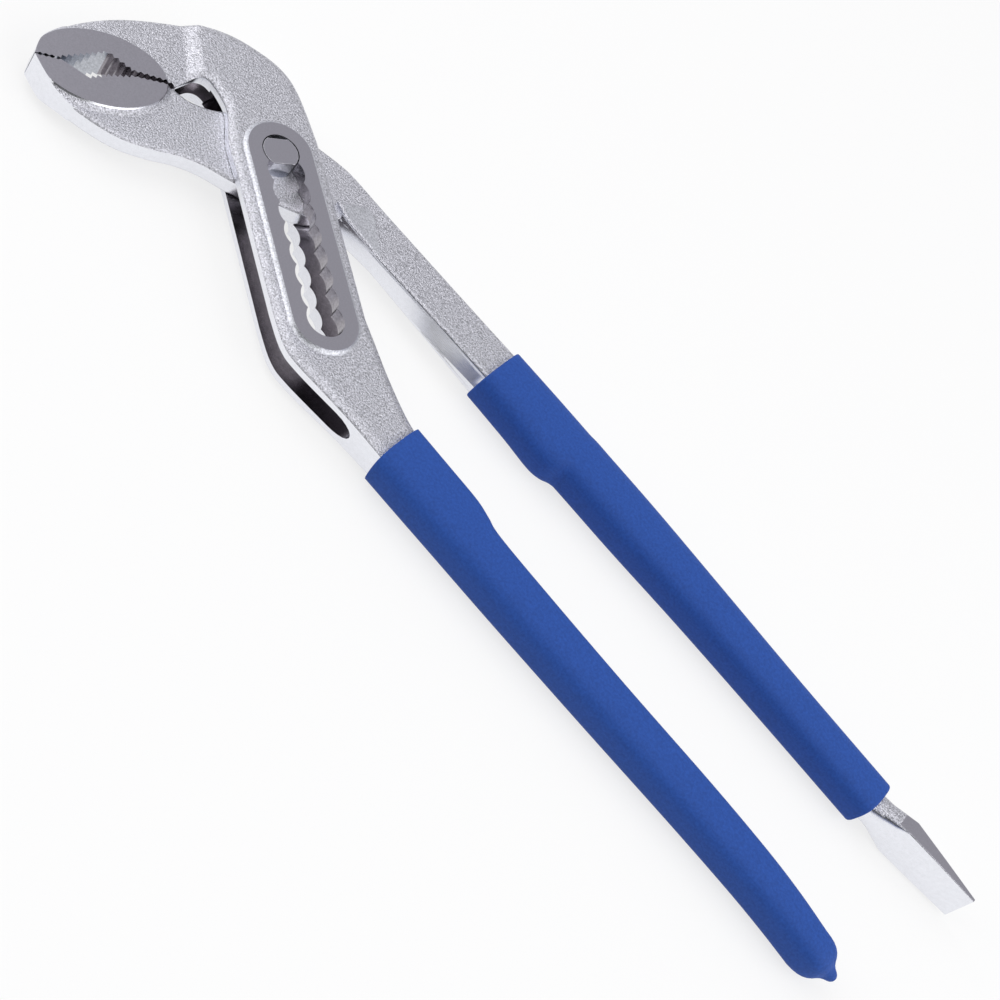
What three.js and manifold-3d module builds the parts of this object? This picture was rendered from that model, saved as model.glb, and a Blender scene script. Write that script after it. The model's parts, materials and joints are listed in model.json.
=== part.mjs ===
// Water pump pliers with a slip-through box joint, in millimetres, +Z up.
// The origin is on the pivot axis, in the plane of the back pad, which the pliers lie on.
// +X runs along the handles, +Y from the slotted arm's handle towards the inner arm's handle.
// The pliers are closed, with the pin in the first hole of the slot.

import * as THREE from 'three';
import { mergeVertices } from 'three/addons/utils/BufferGeometryUtils.js';
import Module from 'manifold-3d';

// Joint: two plates with a scalloped slot, and the web of the inner arm between them
const PLATE = 2.85;
const PAD_RISE = 0.9;
const PAD_FLARE = 0.9;
const PAD_WALL = 3.6;
const BOX_GAP = 5.5;
const WEB_PLAY = 0.15;
const PLATE_HALF_WIDTH = 12.4;
const SLOT_ANGLE = THREE.MathUtils.degToRad(-31.1);
const SLOT_STEPS = 8;
const SLOT_PITCH = 5.9;
const HOLE_RADIUS = 4.9;
const PIN_PLAY = 0.25;
const FLAT_PLAY = 0.2;
const BOX_TOP_RADIUS = 20.5;
const BOX_CUTTER_RADIUS = 40;
const BOX_CUTTER_DROP = 9.5;
const BOX_RUN_OUT = 25;

// Jaws: a lens of ground steel, split along the bite line
const BITE_ANGLE = THREE.MathUtils.degToRad(51.4);
const BITE_OFFSET = 15.45;
const BITE_GAP = 0.3;
const JAW_REACH = 59.2;
const JAW_BACK = 19.6;
const JAW_BELLY = 19.8;
const JAW_HEEL = 25.2;
const LENS_HALF_LENGTH = 16.2;
const LENS_HALF_HEIGHT = 11;
const HEAD_THICKNESS = 8;
const JAW_RELIEF = 0.4;
const LENS_STEP = 1.6;
const RAMP_FOOT = 21.5;
const RAMP_LENGTH = 4;
const TOOTH_PITCH = 1.5;
const TOOTH_DEPTH = 0.8;

// Handles, their dipped grips and the screwdriver blade
const TAIL_LENGTH = 33.1;
const TAIL_DROP = 6.2;
const INNER_RISE = 11;
const SHOULDER_GAP = 1.6;
const SHOULDER_LENGTH = 8;
const HANDLE_WIDTH = 12.5;
const HANDLE_THICKNESS = 9.2;
const TIP_THICKNESS = 8.2;
const HANDLE_CORNER = 2.4;
const SLOTTED_TANG_LENGTH = 156;
const INNER_TANG_LENGTH = 140;
const COAT = 1.6;
const COAT_FIT = 0.25;
const NUB_RADIUS = 1.9;
const NUB_LENGTH = 2.6;
const BLADE_LENGTH = 33;
const BLADE_NECK = 3;
const BLADE_FLARE = 7;
const BLADE_RISE = 2.3;
const BLADE_WIDTH = 12.6;
const BLADE_TIP_WIDTH = 10.6;
const BLADE_ROOT = 4.8;
const BLADE_TIP = 0.9;
const BLADE_EDGE = 0.3;

const EDGE_ROUND = 0.8;
const CURVE_STEPS = 5;
const ROUND_STEPS = 36;

// Sizes that follow from those above
const JOINT_THICKNESS = BOX_GAP + 2 * PLATE;
const THICKNESS = JOINT_THICKNESS + 2 * PAD_RISE;
const MID = THICKNESS / 2;
const SLOT_LENGTH = SLOT_STEPS * SLOT_PITCH;
const NECK_HALF = Math.sqrt(HOLE_RADIUS ** 2 - (SLOT_PITCH / 2) ** 2);
const PAD_RADIUS = HOLE_RADIUS + PAD_WALL;
const PIN_RADIUS = HOLE_RADIUS - PIN_PLAY;
const WEB = BOX_GAP - 2 * WEB_PLAY;
const LENS_CENTRE = LENS_HALF_LENGTH - JAW_REACH;
const BITE_SPARE = 4 * EDGE_ROUND;
const CLEAR = 2 * JAW_REACH;
const SAME_POINT = 0.01;

const wasm = await Module();
wasm.setup();

const STEEL = { color: 0xb9bac2, roughness: 0.42, metalness: 0.9 };
const BLUE_DIP = { color: 0x2d559f, roughness: 0.62, metalness: 0 };

// A point given along and across the slot, seen from the first hole
function slotPoint(along, across) {
  return new THREE.Vector2(along, across).rotateAround(new THREE.Vector2(), SLOT_ANGLE);
}

// A point given along the bite line and above it, seen from the pivot
function jawPoint(along, above) {
  return new THREE.Vector2(along, above + BITE_OFFSET).rotateAround(new THREE.Vector2(), BITE_ANGLE);
}

// A point of the throat and the plates, in half widths of the plates
function platePoint(along, across) {
  return slotPoint(along * PLATE_HALF_WIDTH, across * PLATE_HALF_WIDTH);
}

// A point on the back of the upper jaw, as shares of its reach and height
function backPoint(reach, height) {
  return jawPoint(-reach * JAW_REACH, height * JAW_BACK);
}

// A point on the belly of the lower jaw, as shares of its reach and depth
function bellyPoint(reach, depth) {
  return jawPoint(-reach * JAW_REACH, -depth * JAW_BELLY);
}

const SLOT_END = slotPoint(SLOT_LENGTH, 0);
const GRIP_START = SLOT_END.x + TAIL_LENGTH;

// A point behind the slot, as a share of the tail's length and in half widths of the plates
function tailPoint(share, across) {
  return new THREE.Vector2(SLOT_END.x + share * TAIL_LENGTH, SLOT_END.y + across * PLATE_HALF_WIDTH);
}

function solidOf(geometry) {
  geometry.deleteAttribute('normal');
  geometry.deleteAttribute('uv');
  const merged = mergeVertices(geometry, 1e-4);
  const corners = [];
  const index = merged.index.array;
  for (let i = 0; i < index.length; i += 3) {
    const [a, b, c] = [index[i], index[i + 1], index[i + 2]];
    if (a !== b && b !== c && c !== a) corners.push(a, b, c);
  }
  return new wasm.Manifold(new wasm.Mesh({
    numProp: 3,
    vertProperties: new Float32Array(merged.attributes.position.array),
    triVerts: new Uint32Array(corners),
  }));
}

function meshOf(name, solid, finish) {
  const { vertProperties, triVerts } = solid.getMesh();
  const geometry = new THREE.BufferGeometry();
  geometry.setAttribute('position', new THREE.BufferAttribute(vertProperties, 3));
  geometry.setIndex(new THREE.BufferAttribute(triVerts, 1));
  geometry.computeVertexNormals();
  const mesh = new THREE.Mesh(geometry, new THREE.MeshStandardMaterial(finish));
  mesh.name = name;
  return mesh;
}

// A plan outline raised to a thickness about the middle plane, with rounded edges
function slab(shape, thickness, round = 0, spread = 0) {
  const rounded = round > 0;
  const geometry = new THREE.ExtrudeGeometry(shape, {
    depth: thickness - 2 * round,
    curveSegments: CURVE_STEPS,
    bevelEnabled: rounded,
    bevelThickness: round,
    bevelSize: spread > 0 ? spread : round,
    bevelOffset: spread > 0 ? 0 : -round,
    bevelSegments: 2,
  });
  geometry.translate(0, 0, MID - thickness / 2 + round);
  return solidOf(geometry);
}

// A closed outline without doubled points
function outline(points) {
  const kept = points.filter((p, i) => p.distanceTo(points.at(i - 1)) > SAME_POINT);
  return new THREE.Shape(kept);
}

// The same, from curves drawn one after the other
function drawn(shape, steps = CURVE_STEPS) {
  return outline(shape.getPoints(steps));
}

// Everything on one side of the bite line, in plan
function biteSide(side) {
  const edge = side * BITE_GAP / 2;
  return outline([
    jawPoint(-CLEAR, edge), jawPoint(CLEAR, edge),
    jawPoint(CLEAR, side * CLEAR), jawPoint(-CLEAR, side * CLEAR),
  ]);
}

function lensShape() {
  const shape = new THREE.Shape();
  const centre = jawPoint(LENS_CENTRE, 0);
  shape.absellipse(centre.x, centre.y, LENS_HALF_LENGTH, LENS_HALF_HEIGHT, 0, 2 * Math.PI, false, BITE_ANGLE);
  return drawn(shape, ROUND_STEPS / 2);
}

// A row of teeth from one point to another, as the points of a zigzag
function teeth(from, to, inward) {
  const row = [];
  const count = Math.max(1, Math.round(from.distanceTo(to) / TOOTH_PITCH));
  const side = new THREE.Vector2().subVectors(to, from).rotateAround(new THREE.Vector2(), Math.PI / 2);
  side.setLength(inward * TOOTH_DEPTH);
  for (let i = 0; i < count; i += 1) {
    row.push(from.clone().lerp(to, i / count));
    row.push(from.clone().lerp(to, (i + 0.5) / count).add(side));
  }
  return row;
}

// The mouth: a toothed notch in the upper jaw over a toothed hollow in the lower jaw
function mouthShape() {
  const nose = LENS_CENTRE - 0.52 * LENS_HALF_LENGTH;
  const heel = LENS_CENTRE + 0.98 * LENS_HALF_LENGTH;
  const peak = jawPoint(nose + 0.42 * (heel - nose), 0.48 * LENS_HALF_HEIGHT);
  const trough = jawPoint(nose + 0.17 * (heel - nose), -0.36 * LENS_HALF_HEIGHT);
  const shelf = jawPoint(nose + 0.54 * (heel - nose), -0.1 * LENS_HALF_HEIGHT);
  const upperHeel = jawPoint(heel, 0.06 * LENS_HALF_HEIGHT);
  const lowerHeel = jawPoint(heel, -0.06 * LENS_HALF_HEIGHT);
  return outline([
    ...teeth(jawPoint(nose, 0), peak, 1),
    ...teeth(peak, upperHeel, 1),
    upperHeel, lowerHeel,
    ...teeth(lowerHeel, shelf, 1),
    ...teeth(shelf, trough, 1),
    trough,
  ]);
}

// The slot: a row of drilled holes that run into each other
function slotShape() {
  const half = Math.asin(SLOT_PITCH / 2 / HOLE_RADIUS);
  const top = Math.PI / 2;
  const shape = new THREE.Shape();
  for (let i = 0; i <= SLOT_STEPS; i += 1) {
    const start = i === 0 ? Math.PI : top + half;
    const end = i === SLOT_STEPS ? 0 : top - half;
    shape.absarc(i * SLOT_PITCH, 0, HOLE_RADIUS, start, end, true);
  }
  for (let i = SLOT_STEPS; i >= 0; i -= 1) {
    const start = i === SLOT_STEPS ? 0 : half - top;
    const end = i === 0 ? -Math.PI : -half - top;
    shape.absarc(i * SLOT_PITCH, 0, HOLE_RADIUS, start, end, true);
  }
  return outline(shape.getPoints(CURVE_STEPS - 1).map((p) => slotPoint(p.x, p.y)));
}

function padShape() {
  const shape = new THREE.Shape();
  shape.absarc(0, 0, PAD_RADIUS, 0.5 * Math.PI, 1.5 * Math.PI);
  shape.absarc(SLOT_LENGTH, 0, PAD_RADIUS, -0.5 * Math.PI, 0.5 * Math.PI);
  return outline(shape.getPoints(ROUND_STEPS / 2).map((p) => slotPoint(p.x, p.y)));
}

// The room between the plates: round about the pivot, and cut by a disc cutter at the handle end
function boxShape() {
  const top = new THREE.Shape();
  top.absarc(0, 0, BOX_TOP_RADIUS, 0.5 * Math.PI, 1.5 * Math.PI);
  const end = new THREE.Shape();
  const centre = new THREE.Vector2(BOX_RUN_OUT - BOX_CUTTER_RADIUS, -BOX_CUTTER_DROP).add(SLOT_END);
  end.absarc(centre.x, centre.y, BOX_CUTTER_RADIUS, -0.25 * Math.PI, 0.25 * Math.PI);
  return outline([
    ...top.getPoints(ROUND_STEPS / 2).map((p) => slotPoint(p.x, p.y)),
    ...end.getPoints(ROUND_STEPS / 2),
  ]);
}

// The slotted arm in plan, from the jaw over the plates to the root of its handle
function slottedArmShape() {
  const shape = new THREE.Shape();
  const start = jawPoint(1 - JAW_REACH, -BITE_SPARE);
  const tailHigh = tailPoint(0.57, 0.37);
  const rootHigh = tailPoint(0.66, 0.26);
  const rootLow = tailPoint(0.66, -1.02);
  const waist = platePoint(0.565, -1);
  shape.moveTo(start.x, start.y);
  shape.splineThru([
    backPoint(1, 0), backPoint(0.946, 0.327), backPoint(0.78, 0.673), backPoint(0.557, 0.908),
    backPoint(0.253, 1), backPoint(0.05, 0.827), backPoint(-0.105, 0.418), platePoint(-0.4, 0.95),
  ]);
  shape.lineTo(tailHigh.x, tailHigh.y);
  shape.lineTo(rootHigh.x, rootHigh.y);
  shape.lineTo(rootLow.x, rootLow.y);
  shape.splineThru([tailPoint(0.18, -1.14), tailPoint(-0.03, -1.08), slotPoint(SLOT_LENGTH, -PLATE_HALF_WIDTH)]);
  shape.lineTo(waist.x, waist.y);
  shape.splineThru([
    platePoint(-0.2, -1.016), platePoint(-0.887, -0.879), platePoint(-1.29, -0.935), platePoint(-1.645, -1.097),
    platePoint(-1.726, -1.331), platePoint(-1.589, -1.629), jawPoint(-JAW_HEEL, -BITE_SPARE),
  ]);
  return drawn(shape);
}

// The inner arm in plan, from the lower jaw through the box to the root of its handle
function innerArmShape() {
  const shape = new THREE.Shape();
  const start = jawPoint(1 - JAW_REACH, BITE_SPARE);
  const root = shoulderStart() + SHOULDER_LENGTH;
  const low = INNER_RISE - HANDLE_WIDTH / 2;
  const high = INNER_RISE + HANDLE_WIDTH / 2;
  shape.moveTo(start.x, start.y);
  shape.splineThru([
    bellyPoint(1, 0), bellyPoint(0.946, 0.333), bellyPoint(0.87, 0.566), bellyPoint(0.784, 0.753),
    bellyPoint(0.666, 0.919), bellyPoint(0.54, 0.985), bellyPoint(0.417, 1), bellyPoint(0.314, 1.07),
    platePoint(0.597, -1), platePoint(1.016, -0.161), platePoint(1.226, 0.403), platePoint(1.226, 1.097),
  ]);
  shape.lineTo(root, low);
  shape.lineTo(root, high);
  shape.splineThru([
    platePoint(0.376, 1.875), platePoint(-0.027, 1.575), platePoint(-0.47, 1.091), platePoint(-1, 0.484),
    platePoint(-1.161, -0.242), platePoint(-1.097, -0.968), platePoint(-1.242, -1.5),
    jawPoint(-JAW_HEEL, BITE_SPARE),
  ]);
  return drawn(shape);
}

// Where the inner arm's handle starts to thicken, clear of the plates' edge
function shoulderStart() {
  const low = INNER_RISE - HANDLE_WIDTH / 2;
  return (PLATE_HALF_WIDTH + SHOULDER_GAP - low * Math.cos(SLOT_ANGLE)) / Math.sin(-SLOT_ANGLE);
}

// A bar lofted through rounded rectangles that stand square to X
function loft(stations) {
  const ring = 4 * (CURVE_STEPS - 1);
  const vertices = [];
  for (const { x, middle, width, thick, corner } of stations) {
    const round = Math.min(corner, 0.49 * width, 0.49 * thick);
    for (let i = 0; i < ring; i += 1) {
      const quarter = Math.floor(i / (CURVE_STEPS - 1));
      const step = i % (CURVE_STEPS - 1);
      const angle = (quarter + step / (CURVE_STEPS - 2)) * Math.PI / 2;
      const right = quarter === 0 || quarter === 3 ? 1 : -1;
      const up = quarter < 2 ? 1 : -1;
      const y = middle + right * (width / 2 - round) + round * Math.cos(angle);
      const z = MID + up * (thick / 2 - round) + round * Math.sin(angle);
      vertices.push(x, y, z);
    }
  }
  const faces = [];
  const last = (stations.length - 1) * ring;
  for (let s = 0; s < last; s += ring) {
    for (let i = 0; i < ring; i += 1) {
      const j = (i + 1) % ring;
      faces.push(s + i, s + j, s + ring + j, s + i, s + ring + j, s + ring + i);
    }
  }
  for (let i = 1; i < ring - 1; i += 1) {
    faces.push(0, i + 1, i, last, last + i, last + i + 1);
  }
  const geometry = new THREE.BufferGeometry();
  geometry.setAttribute('position', new THREE.Float32BufferAttribute(vertices, 3));
  geometry.setIndex(faces);
  return solidOf(geometry);
}

function station(x, middle, width, thick, corner) {
  return { x, middle, width, thick, corner };
}

// The same stations, swollen by a coat
function swell(stations, by) {
  return stations.map((s) => station(s.x, s.middle, s.width + 2 * by, s.thick + 2 * by, s.corner + by));
}

// A row gives the share of the tang's length, the middle's shift and the width in handle widths, and the thinning
function tang(length, middle, rows) {
  return rows.map(([share, shift, width, thinning]) => station(
    GRIP_START + share * length,
    middle + shift * HANDLE_WIDTH,
    width * HANDLE_WIDTH,
    HANDLE_THICKNESS - thinning * (HANDLE_THICKNESS - TIP_THICKNESS),
    HANDLE_CORNER,
  ));
}

const SLOTTED_TANG = tang(SLOTTED_TANG_LENGTH, SLOT_END.y - TAIL_DROP, [
  [0, 0, 1, 0], [0.138, 0, 0.97, 0], [0.17, -0.04, 0.865, 0], [0.202, -0.08, 0.775, 0],
  [0.31, -0.084, 0.73, 0.1], [0.5, -0.064, 0.67, 0.3], [0.68, -0.02, 0.65, 0.6], [0.82, -0.02, 0.6, 0.8],
  [0.9, -0.08, 0.545, 1], [0.955, -0.15, 0.48, 1.2], [1, -0.19, 0.36, 1.2],
]);

const INNER_TANG = tang(INNER_TANG_LENGTH, INNER_RISE, [
  [0, 0, 0.98, 0], [0.093, 0, 1.04, 0], [0.16, -0.008, 1.1, 0], [0.19, 0.024, 1.04, 0], [0.21, 0.096, 0.91, 0],
  [0.24, 0.112, 0.88, 0], [0.37, 0.124, 0.87, 0.1], [0.55, 0.14, 0.78, 0.4], [0.765, 0.136, 0.69, 0.7],
  [1, 0.14, 0.68, 1],
]);

// Everything on the pivot's side of the ramp, where the bite line no longer splits the jaws
function handleSide() {
  return slab(outline([
    jawPoint(-RAMP_FOOT, -CLEAR), jawPoint(CLEAR, -CLEAR), jawPoint(CLEAR, CLEAR), jawPoint(-RAMP_FOOT, CLEAR),
  ]), THICKNESS);
}

// The joint's thickness, ramping up from the jaw's
function rampProfile() {
  const foot = HEAD_THICKNESS / 2 - JAW_RELIEF;
  const top = JOINT_THICKNESS / 2;
  const crest = RAMP_LENGTH - RAMP_FOOT;
  const side = outline([
    new THREE.Vector2(-RAMP_FOOT, -foot), new THREE.Vector2(crest, -top), new THREE.Vector2(CLEAR, -top),
    new THREE.Vector2(CLEAR, top), new THREE.Vector2(crest, top), new THREE.Vector2(-RAMP_FOOT, foot),
  ]);
  const geometry = new THREE.ExtrudeGeometry(side, { depth: 2 * CLEAR, bevelEnabled: false });
  geometry.translate(0, 0, -CLEAR);
  geometry.rotateX(Math.PI / 2);
  geometry.rotateZ(BITE_ANGLE);
  geometry.translate(0, 0, MID);
  return solidOf(geometry);
}

// Upper jaw, two plates with pads, slot and box, and the handle, as one forging
function slottedArm() {
  const plan = slottedArmShape();
  const above = slab(biteSide(1), THICKNESS);
  const jaw = slab(plan, HEAD_THICKNESS - 2 * JAW_RELIEF, EDGE_ROUND).intersect(above.add(handleSide()));
  const lens = slab(lensShape(), HEAD_THICKNESS, JAW_RELIEF, JAW_RELIEF)
    .intersect(slab(plan, THICKNESS)).intersect(above);
  const plates = slab(plan, JOINT_THICKNESS, EDGE_ROUND).intersect(rampProfile());
  const pads = slab(padShape(), THICKNESS, PAD_RISE, PAD_FLARE);
  const root = tailPoint(0.62, -0.355);
  const neck = tailPoint(0.785, -0.444);
  const handle = loft([
    station(root.x, root.y, 1.34 * PLATE_HALF_WIDTH, JOINT_THICKNESS, EDGE_ROUND),
    station(neck.x, neck.y, 1.113 * PLATE_HALF_WIDTH, (JOINT_THICKNESS + HANDLE_THICKNESS) / 2, EDGE_ROUND),
    ...SLOTTED_TANG,
  ]);
  return jaw.add(lens).add(plates).add(handle).add(pads)
    .subtract(slab(boxShape(), BOX_GAP))
    .subtract(slab(slotShape(), 2 * THICKNESS))
    .subtract(slab(mouthShape(), 2 * THICKNESS));
}

// Lower jaw, web with the pivot bore, handle and screwdriver blade, as one forging
function innerArm() {
  const plan = innerArmShape();
  const web = slab(plan, WEB, EDGE_ROUND);
  const head = slab(lensShape(), HEAD_THICKNESS, (HEAD_THICKNESS - WEB) / 2, LENS_STEP)
    .intersect(slab(plan, THICKNESS));
  const swelling = HANDLE_THICKNESS - WEB;
  const shoulder = shoulderStart();
  const ramp = shoulder + SHOULDER_LENGTH;
  const neckEnd = (ramp + 2 * GRIP_START) / 3;
  const bladeStart = GRIP_START + INNER_TANG_LENGTH;
  const bladeFlare = bladeStart + BLADE_NECK + BLADE_FLARE;
  const bladeMiddle = INNER_RISE + BLADE_RISE;
  const handle = loft([
    station(shoulder, INNER_RISE, HANDLE_WIDTH, WEB, EDGE_ROUND),
    station(ramp, INNER_RISE, HANDLE_WIDTH, WEB + 0.3 * swelling, EDGE_ROUND),
    station(neckEnd, INNER_RISE, HANDLE_WIDTH, WEB + 0.75 * swelling, EDGE_ROUND),
    ...INNER_TANG,
    station(bladeStart + BLADE_NECK, bladeMiddle, 0.66 * HANDLE_WIDTH, TIP_THICKNESS, EDGE_ROUND),
    station(bladeFlare, bladeMiddle, BLADE_ROOT, BLADE_WIDTH, BLADE_EDGE),
    station(bladeStart + BLADE_LENGTH, bladeMiddle, BLADE_TIP, BLADE_TIP_WIDTH, BLADE_EDGE),
  ]);
  const bore = new THREE.CylinderGeometry(HOLE_RADIUS, HOLE_RADIUS, 2 * THICKNESS, ROUND_STEPS);
  bore.rotateX(Math.PI / 2);
  bore.translate(0, 0, MID);
  return web.add(head).intersect(slab(biteSide(-1), THICKNESS)).add(handle)
    .subtract(slab(mouthShape(), 2 * THICKNESS))
    .subtract(solidOf(bore));
}

// Pivot pin: round in the web, with two flats on each end that pass the necks of the slot
function pivotPin() {
  const round = new THREE.CylinderGeometry(PIN_RADIUS, PIN_RADIUS, THICKNESS, ROUND_STEPS);
  round.rotateX(Math.PI / 2);
  round.translate(0, 0, MID);
  const flats = new THREE.BoxGeometry(2 * HOLE_RADIUS, 2 * (NECK_HALF - FLAT_PLAY), 2 * THICKNESS);
  flats.rotateZ(SLOT_ANGLE);
  flats.translate(0, 0, MID);
  const belt = new THREE.BoxGeometry(2 * HOLE_RADIUS, 2 * HOLE_RADIUS, WEB);
  belt.translate(0, 0, MID);
  return solidOf(round).intersect(solidOf(flats).add(solidOf(belt)));
}

// Dipped sleeve over the slotted arm's tang, closed and rounded at its end, with the drip it set with
function slottedArmGrip() {
  const outer = swell(SLOTTED_TANG, COAT + COAT_FIT);
  const tip = outer.at(-1);
  const cap = [];
  for (let i = 1; i < CURVE_STEPS; i += 1) {
    const angle = i / CURVE_STEPS * Math.PI / 2;
    const less = tip.width * (1 - Math.cos(angle));
    const x = tip.x + (COAT + COAT_FIT) * Math.sin(angle);
    cap.push(station(x, tip.middle, tip.width - less, tip.thick - less, tip.corner));
  }
  const end = cap.at(-1).x;
  const nub = [
    station(tip.x, tip.middle, 2 * NUB_RADIUS, 2 * NUB_RADIUS, NUB_RADIUS),
    station(end + 0.6 * NUB_LENGTH, tip.middle, 1.7 * NUB_RADIUS, 1.7 * NUB_RADIUS, NUB_RADIUS),
    station(end + NUB_LENGTH, tip.middle, NUB_RADIUS, NUB_RADIUS, NUB_RADIUS),
  ];
  const bore = swell(SLOTTED_TANG, COAT_FIT);
  const mouth = { ...bore[0], x: GRIP_START - COAT };
  const floor = { ...bore.at(-1), x: bore.at(-1).x + COAT_FIT };
  return loft([...outer, ...cap]).add(loft(nub)).subtract(loft([mouth, ...bore, floor]));
}

// Dipped sleeve over the inner arm's tang, open at both ends
function innerArmGrip() {
  const bore = swell(INNER_TANG, COAT_FIT);
  const mouth = { ...bore[0], x: GRIP_START - COAT };
  const exit = { ...bore.at(-1), x: bore.at(-1).x + COAT };
  return loft(swell(INNER_TANG, COAT + COAT_FIT)).subtract(loft([mouth, ...bore, exit]));
}

const pliers = new THREE.Group();
pliers.add(meshOf('slotted_arm', slottedArm(), STEEL));
pliers.add(meshOf('slotted_arm_grip', slottedArmGrip(), BLUE_DIP));
pliers.add(meshOf('pivot_pin', pivotPin(), STEEL));
pliers.add(meshOf('inner_arm', innerArm(), STEEL));
pliers.add(meshOf('inner_arm_grip', innerArmGrip(), BLUE_DIP));

export default pliers;
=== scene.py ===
# %% [markdown]
# Water pump pliers: a lesson in dressing a packed mechanism.
# The frame holds five solids on three bodies: a slotted arm, a pin that slides along its slot, and an
# inner arm that turns on the pin. Each solid is shown here by a finer mesh that rides on the same body.

# %% Load the frame
import json
import math

import bmesh
import bpy
from mathutils import Matrix, Vector, geometry


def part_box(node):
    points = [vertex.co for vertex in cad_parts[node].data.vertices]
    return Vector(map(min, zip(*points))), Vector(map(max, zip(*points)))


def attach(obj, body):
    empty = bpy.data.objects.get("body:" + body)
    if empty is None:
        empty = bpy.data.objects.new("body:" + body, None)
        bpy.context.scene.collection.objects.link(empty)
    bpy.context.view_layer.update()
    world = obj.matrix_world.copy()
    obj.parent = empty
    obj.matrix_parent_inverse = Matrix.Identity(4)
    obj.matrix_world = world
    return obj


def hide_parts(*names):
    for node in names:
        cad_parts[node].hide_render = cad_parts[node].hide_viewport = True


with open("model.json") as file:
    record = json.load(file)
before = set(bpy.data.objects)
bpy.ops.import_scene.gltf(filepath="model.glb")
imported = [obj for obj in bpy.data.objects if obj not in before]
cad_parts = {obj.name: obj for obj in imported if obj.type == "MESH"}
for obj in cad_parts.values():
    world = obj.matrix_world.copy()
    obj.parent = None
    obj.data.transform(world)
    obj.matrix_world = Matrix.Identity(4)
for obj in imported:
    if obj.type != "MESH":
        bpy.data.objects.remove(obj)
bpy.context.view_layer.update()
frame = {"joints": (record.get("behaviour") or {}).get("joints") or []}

# %% [markdown]
# Every place on a pair of pliers belongs to one of a few directions: along the slot, along the bite of
# the jaws, or along the handles. Small functions that turn such a place into plan coordinates keep the
# numbers readable, so they come first. The slot's direction and length are read from the sliding joint,
# and the levels from the solids, so the dressed parts can't drift away from the frame.

# %% Directions and levels
MM = 0.001
PIVOT = Vector((0, 0))

slide = next(j for j in frame["joints"] if j["type"] == "slide")
SLOT_DIRECTION = Vector(slide["axis"][:2])
SLOT_TURN = math.atan2(SLOT_DIRECTION.y, SLOT_DIRECTION.x)
SLOT_LENGTH = slide["range_m"][1]
SLOT_END = SLOT_DIRECTION * SLOT_LENGTH
BITE_ANGLE = math.radians(51.4)
BITE_DIRECTION = Vector((math.cos(BITE_ANGLE), math.sin(BITE_ANGLE)))
BITE_OFFSET = 15.45 * MM

PAD_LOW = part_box("pivot_pin")[0].z
PAD_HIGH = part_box("pivot_pin")[1].z
MIDDLE = (PAD_LOW + PAD_HIGH) / 2
GRIP_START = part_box("slotted_arm_grip")[0].x


def left_of(direction):
    """The direction a quarter turn to the left."""
    return Vector((-direction.y, direction.x))


def place(origin, direction, along, across):
    """A plan point from distances along a direction and to its left."""
    return origin + direction * along + left_of(direction) * across


def slot_point(along, across):
    """Millimetres along and across the slot, from the first hole."""
    return place(PIVOT, SLOT_DIRECTION, along * MM, across * MM)


def jaw_point(along, above):
    """Millimetres along the bite line and above it, from the foot of the pivot."""
    return place(PIVOT, BITE_DIRECTION, along * MM, above * MM + BITE_OFFSET)


def handle_point(x, y):
    """Millimetres along the handles and across them, from the pivot."""
    return Vector((x, y)) * MM


print("slot", round(SLOT_LENGTH / MM, 1), "mm, middle plane at", round(MIDDLE / MM, 2), "mm")

# %% [markdown]
# The camera repeats the photograph's view: a long lens, looking down on the tool at about 48 degrees and
# rolled so that the handles run down to the right. It could be aimed with a Track To constraint, but that
# leaves the roll to chance, so the image's own directions are written: its right, its up, and the way
# back to the camera.

# %% Camera
CAMERA_PLACE = Vector((111.5, -320.7, 344.0)) * MM
IMAGE_RIGHT = Vector((0.65174, 0.57394, 0.49582))
IMAGE_UP = Vector((-0.75789, 0.46782, 0.45469))
TOWARDS_CAMERA = IMAGE_RIGHT.cross(IMAGE_UP)
SENSOR_WIDTH = 36
FOCAL_LENGTH = 69.3

camera_data = bpy.data.cameras.new("camera")
camera_data.sensor_width = SENSOR_WIDTH
camera_data.lens = FOCAL_LENGTH
camera_data.clip_start = 0.01
camera = bpy.data.objects.new("camera", camera_data)
axes = Matrix((IMAGE_RIGHT, IMAGE_UP, TOWARDS_CAMERA)).transposed().to_4x4()
camera.matrix_world = Matrix.Translation(CAMERA_PLACE) @ axes
bpy.context.scene.collection.objects.link(camera)
bpy.context.scene.camera = camera
print("camera at", [round(c, 4) for c in CAMERA_PLACE])

# %% [markdown]
# A forging starts as an outline in plan. It could be drawn as a curve object, but points in a list are
# easier to share between a part and its cutters. `curve` runs a smooth line through given points,
# with each stretch a Bezier whose handles lean towards the neighbouring points.

# %% Outline tools
CURVE_STEPS = 10
SAME_POINT = 0.02 * MM


def curve(points, steps=CURVE_STEPS):
    """Points on a smooth line through the given ones."""
    made = []
    for i, (start, end) in enumerate(zip(points, points[1:])):
        before = points[max(i - 1, 0)]
        after = points[min(i + 2, len(points) - 1)]
        lead = start + (end - before) / 6
        trail = end - (after - start) / 6
        made += geometry.interpolate_bezier(start, lead, trail, end, steps + 1)[:-1]
    return [Vector(p[:2]) for p in made] + [points[-1]]


def arc(centre, radius, start, turn, steps):
    """Points on an arc, from a start angle through a turn."""
    angles = [start + turn * i / steps for i in range(steps + 1)]
    return [centre + Vector((math.cos(a), math.sin(a))) * radius for a in angles]


def closed(points):
    """The outline without doubled points."""
    return [p for i, p in enumerate(points) if (p - points[i - 1]).length > SAME_POINT]


print("curves have", CURVE_STEPS, "steps between two points")

# %% [markdown]
# `blank` lifts an outline to a slab, and `soften` rounds the edges where a face meets a side wall, as a
# die leaves them. `swell` then presses the slab thinner or thicker from place to place. All three work
# on a bmesh, which needs no selection and no edit mode.

# %% Slab tools
CUT_TOLERANCE = 1e-7
WALL_TILT = 0.5


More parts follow.
